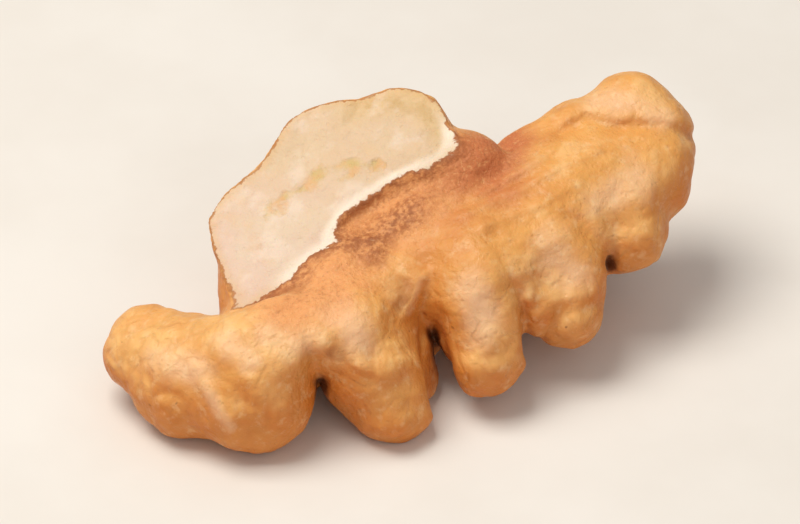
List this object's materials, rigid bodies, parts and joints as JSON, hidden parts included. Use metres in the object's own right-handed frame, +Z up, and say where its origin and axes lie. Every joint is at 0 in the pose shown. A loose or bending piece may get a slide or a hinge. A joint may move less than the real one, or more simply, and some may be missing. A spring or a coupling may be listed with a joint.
{
  "type": "walnut kernel",
  "caption": "Broken piece of a walnut kernel: folded golden-brown lobes, smooth brown inner side and a pale fracture face, lying on its rounded outer side.",
  "frame": {"origin": "the middle of the bounding box in plan, at the height of the surface that the kernel rests on", "axes": "+X along the longest side, from the left tip to the right end; +Y from the front row of lobes to the back; +Z up, from the rounded outer side to the inner side and the break"},
  "size_m": [0.037, 0.0194, 0.0132],
  "materials": {
    "kernel_skin": "thin waxy golden-brown skin, satin, darker brown in the furrows and along the inner side, with matt cream-coloured flesh at the break"
  },
  "bodies": {
    "root": {"kernel": "kernel_skin"}
  },
  "joints": []
}
